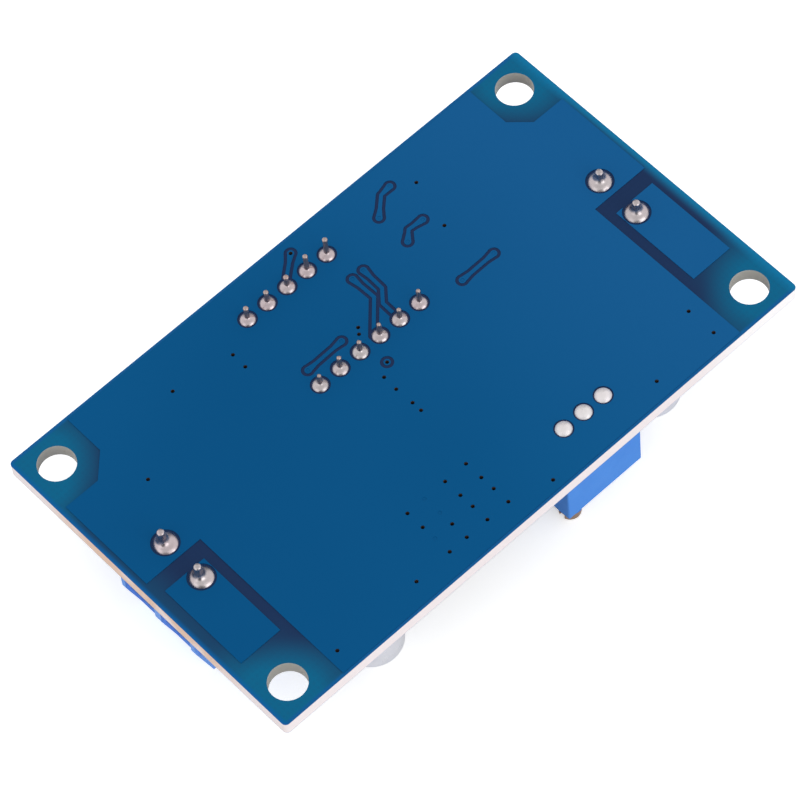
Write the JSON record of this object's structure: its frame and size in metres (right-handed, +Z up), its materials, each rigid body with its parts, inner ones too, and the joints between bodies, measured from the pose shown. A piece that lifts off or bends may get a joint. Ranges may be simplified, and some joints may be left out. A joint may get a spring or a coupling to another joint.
{
  "type": "buck converter module",
  "caption": "Adjustable step-down converter module with a panel voltmeter, lying face down: blue board, screw terminal blocks, trimmer, display, coil, capacitors and soldered pins.",
  "frame": {"origin": "centre of the module's outline in plan, at the lowest point: the tip of the trimmer's screw", "axes": "+X along the board from the input block to the output block, +Y across the board towards the display's edge, +Z up out of the solder side"},
  "size_m": [0.0652, 0.0384, 0.0158],
  "materials": {
    "board_mask": "semi-gloss",
    "lacquered_copper": "semi-gloss",
    "block_plastic": "satin",
    "plated_steel": "satin",
    "tinned_brass": "satin",
    "trimmer_plastic": "gloss",
    "trimmer_resin": "matte",
    "screw_brass": "bright",
    "tinned_wire": "satin",
    "display_plastic": "satin",
    "segment_resin": "satin",
    "display_resin": "gloss",
    "moulded_black": "matte",
    "lead_tin": "satin",
    "ferrite": "matte",
    "winding_copper": "gloss",
    "can_aluminium": "satin",
    "base_black": "satin",
    "resistor_body": "gloss",
    "capacitor_body": "satin",
    "lamp_resin": "gloss",
    "solder": "bright"
  },
  "bodies": {
    "module": {"board": "board_mask", "solder_side_copper": "lacquered_copper", "component_side_copper": "lacquered_copper", "input_block_housing": "block_plastic", "input_block_contacts": "tinned_brass", "output_block_housing": "block_plastic", "output_block_contacts": "tinned_brass", "trimmer_housing": "trimmer_plastic", "trimmer_base_seal": "trimmer_resin", "trimmer_pins": "tinned_wire", "display_case": "display_plastic", "display_segments": "segment_resin", "display_back_seal": "display_resin", "display_pins": "tinned_wire", "regulator_body": "moulded_black", "regulator_tab": "lead_tin", "regulator_leads": "lead_tin", "diode_body": "moulded_black", "diode_leads": "lead_tin", "coil_base": "base_black", "coil_terminals": "lead_tin", "coil_shield": "ferrite", "coil_drum": "ferrite", "coil_winding": "winding_copper", "input_capacitor_can": "can_aluminium", "input_capacitor_base": "base_black", "input_capacitor_leads": "lead_tin", "output_capacitor_can": "can_aluminium", "output_capacitor_base": "base_black", "output_capacitor_leads": "lead_tin", "controller_body": "moulded_black", "controller_leads": "lead_tin", "supply_chip_body": "moulded_black", "supply_chip_leads": "lead_tin", "left_button_base": "moulded_black", "left_button_cover": "plated_steel", "left_button_dome": "plated_steel", "right_button_base": "moulded_black", "right_button_cover": "plated_steel", "right_button_dome": "plated_steel", "chip_resistors": "resistor_body", "chip_capacitors": "capacitor_body", "chip_terminals": "lead_tin", "indicator_lamps": "lamp_resin", "block_solder": "solder", "display_solder": "solder", "trimmer_solder": "solder"},
    "input_minus_screw": {"input_minus_screw": "plated_steel"},
    "input_minus_clamp": {"input_minus_clamp": "plated_steel"},
    "input_plus_screw": {"input_plus_screw": "plated_steel"},
    "input_plus_clamp": {"input_plus_clamp": "plated_steel"},
    "output_minus_screw": {"output_minus_screw": "plated_steel"},
    "output_minus_clamp": {"output_minus_clamp": "plated_steel"},
    "output_plus_screw": {"output_plus_screw": "plated_steel"},
    "output_plus_clamp": {"output_plus_clamp": "plated_steel"},
    "trimmer_screw": {"trimmer_screw": "screw_brass"},
    "left_button_plunger": {"left_button_plunger": "moulded_black"},
    "right_button_plunger": {"right_button_plunger": "moulded_black"}
  },
  "joints": [
    {"name": "input_minus_screw_turn", "type": "hinge", "parent": "module", "child": "input_minus_screw", "pos_m": [-0.02745, 0.0025, 0.002], "axis": [0, 0, 1], "range_deg": [0, 1765]},
    {"name": "input_minus_clamp_rise", "type": "slide", "parent": "module", "child": "input_minus_clamp", "axis": [0, 0, -1], "range_m": [0, 0.0022]},
    {"name": "input_plus_screw_turn", "type": "hinge", "parent": "module", "child": "input_plus_screw", "pos_m": [-0.02745, -0.0025, 0.002], "axis": [0, 0, 1], "range_deg": [0, 1765]},
    {"name": "input_plus_clamp_rise", "type": "slide", "parent": "module", "child": "input_plus_clamp", "axis": [0, 0, -1], "range_m": [0, 0.0022]},
    {"name": "output_minus_screw_turn", "type": "hinge", "parent": "module", "child": "output_minus_screw", "pos_m": [0.02745, 0.0025, 0.002], "axis": [0, 0, 1], "range_deg": [0, 1765]},
    {"name": "output_minus_clamp_rise", "type": "slide", "parent": "module", "child": "output_minus_clamp", "axis": [0, 0, -1], "range_m": [0, 0.0022]},
    {"name": "output_plus_screw_turn", "type": "hinge", "parent": "module", "child": "output_plus_screw", "pos_m": [0.02745, -0.0025, 0.002], "axis": [0, 0, 1], "range_deg": [0, 1765]},
    {"name": "output_plus_clamp_rise", "type": "slide", "parent": "module", "child": "output_plus_clamp", "axis": [0, 0, -1], "range_m": [0, 0.0022]},
    {"name": "trimmer_screw_turn", "type": "hinge", "parent": "module", "child": "trimmer_screw", "pos_m": [0.00564, -0.01577, 0.001], "axis": [0, 0, 1], "continuous": true},
    {"name": "left_button_press", "type": "slide", "parent": "module", "child": "left_button_plunger", "axis": [0, 0, 1], "range_m": [0, 0.00025], "stiffness_N_per_m": 4000, "deforming": ["left_button_dome"]},
    {"name": "right_button_press", "type": "slide", "parent": "module", "child": "right_button_plunger", "axis": [0, 0, 1], "range_m": [0, 0.00025], "stiffness_N_per_m": 4000, "deforming": ["right_button_dome"]}
  ],
  "couplings": [
    {"joint": "input_minus_screw_turn", "follows": "input_minus_clamp_rise", "rad_per_m": 13963},
    {"joint": "input_plus_screw_turn", "follows": "input_plus_clamp_rise", "rad_per_m": 13963},
    {"joint": "output_minus_screw_turn", "follows": "output_minus_clamp_rise", "rad_per_m": 13963},
    {"joint": "output_plus_screw_turn", "follows": "output_plus_clamp_rise", "rad_per_m": 13963}
  ]
}
